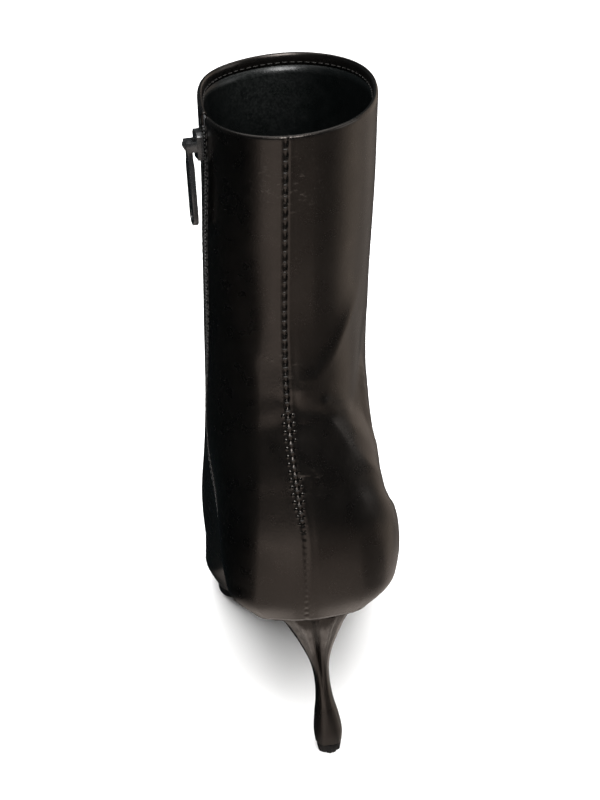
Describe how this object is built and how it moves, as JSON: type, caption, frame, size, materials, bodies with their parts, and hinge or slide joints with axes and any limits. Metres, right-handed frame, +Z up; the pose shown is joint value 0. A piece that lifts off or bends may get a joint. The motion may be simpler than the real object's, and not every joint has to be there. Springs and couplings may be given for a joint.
{
  "type": "stiletto ankle boot",
  "caption": "Black smooth leather ankle boot for the right foot, with a pointed toe, a sculpted stiletto heel, a back seam and an inner zip whose pull tab swings.",
  "frame": {"origin": "on the floor under the middle of the boot's box", "axes": "+Y from heel to toe, +X to the outer side of the right foot, +Z up"},
  "size_m": [0.0768, 0.25, 0.2501],
  "materials": {
    "leather": "smooth satin black",
    "patent": "glossy black",
    "rubber": "matt black",
    "lining": "glossy black lining",
    "zip": "black tape with moulded teeth",
    "enamel": "glossy black enamel"
  },
  "bodies": {
    "boot": {"upper": "leather", "outsole": "patent", "insole": "lining", "heel": "patent", "heel_tip": "rubber", "zip": "zip", "zip_slider": "enamel"},
    "pull_tab": {"zip_pull_tab": "enamel"}
  },
  "joints": [
    {"name": "pull_tab_swing", "type": "hinge", "parent": "boot", "child": "pull_tab", "pos_m": [-0.02955, -0.08953, 0.23744], "axis": [-0.2017, 0.9795, 0], "range_deg": [-5, 165]}
  ]
}
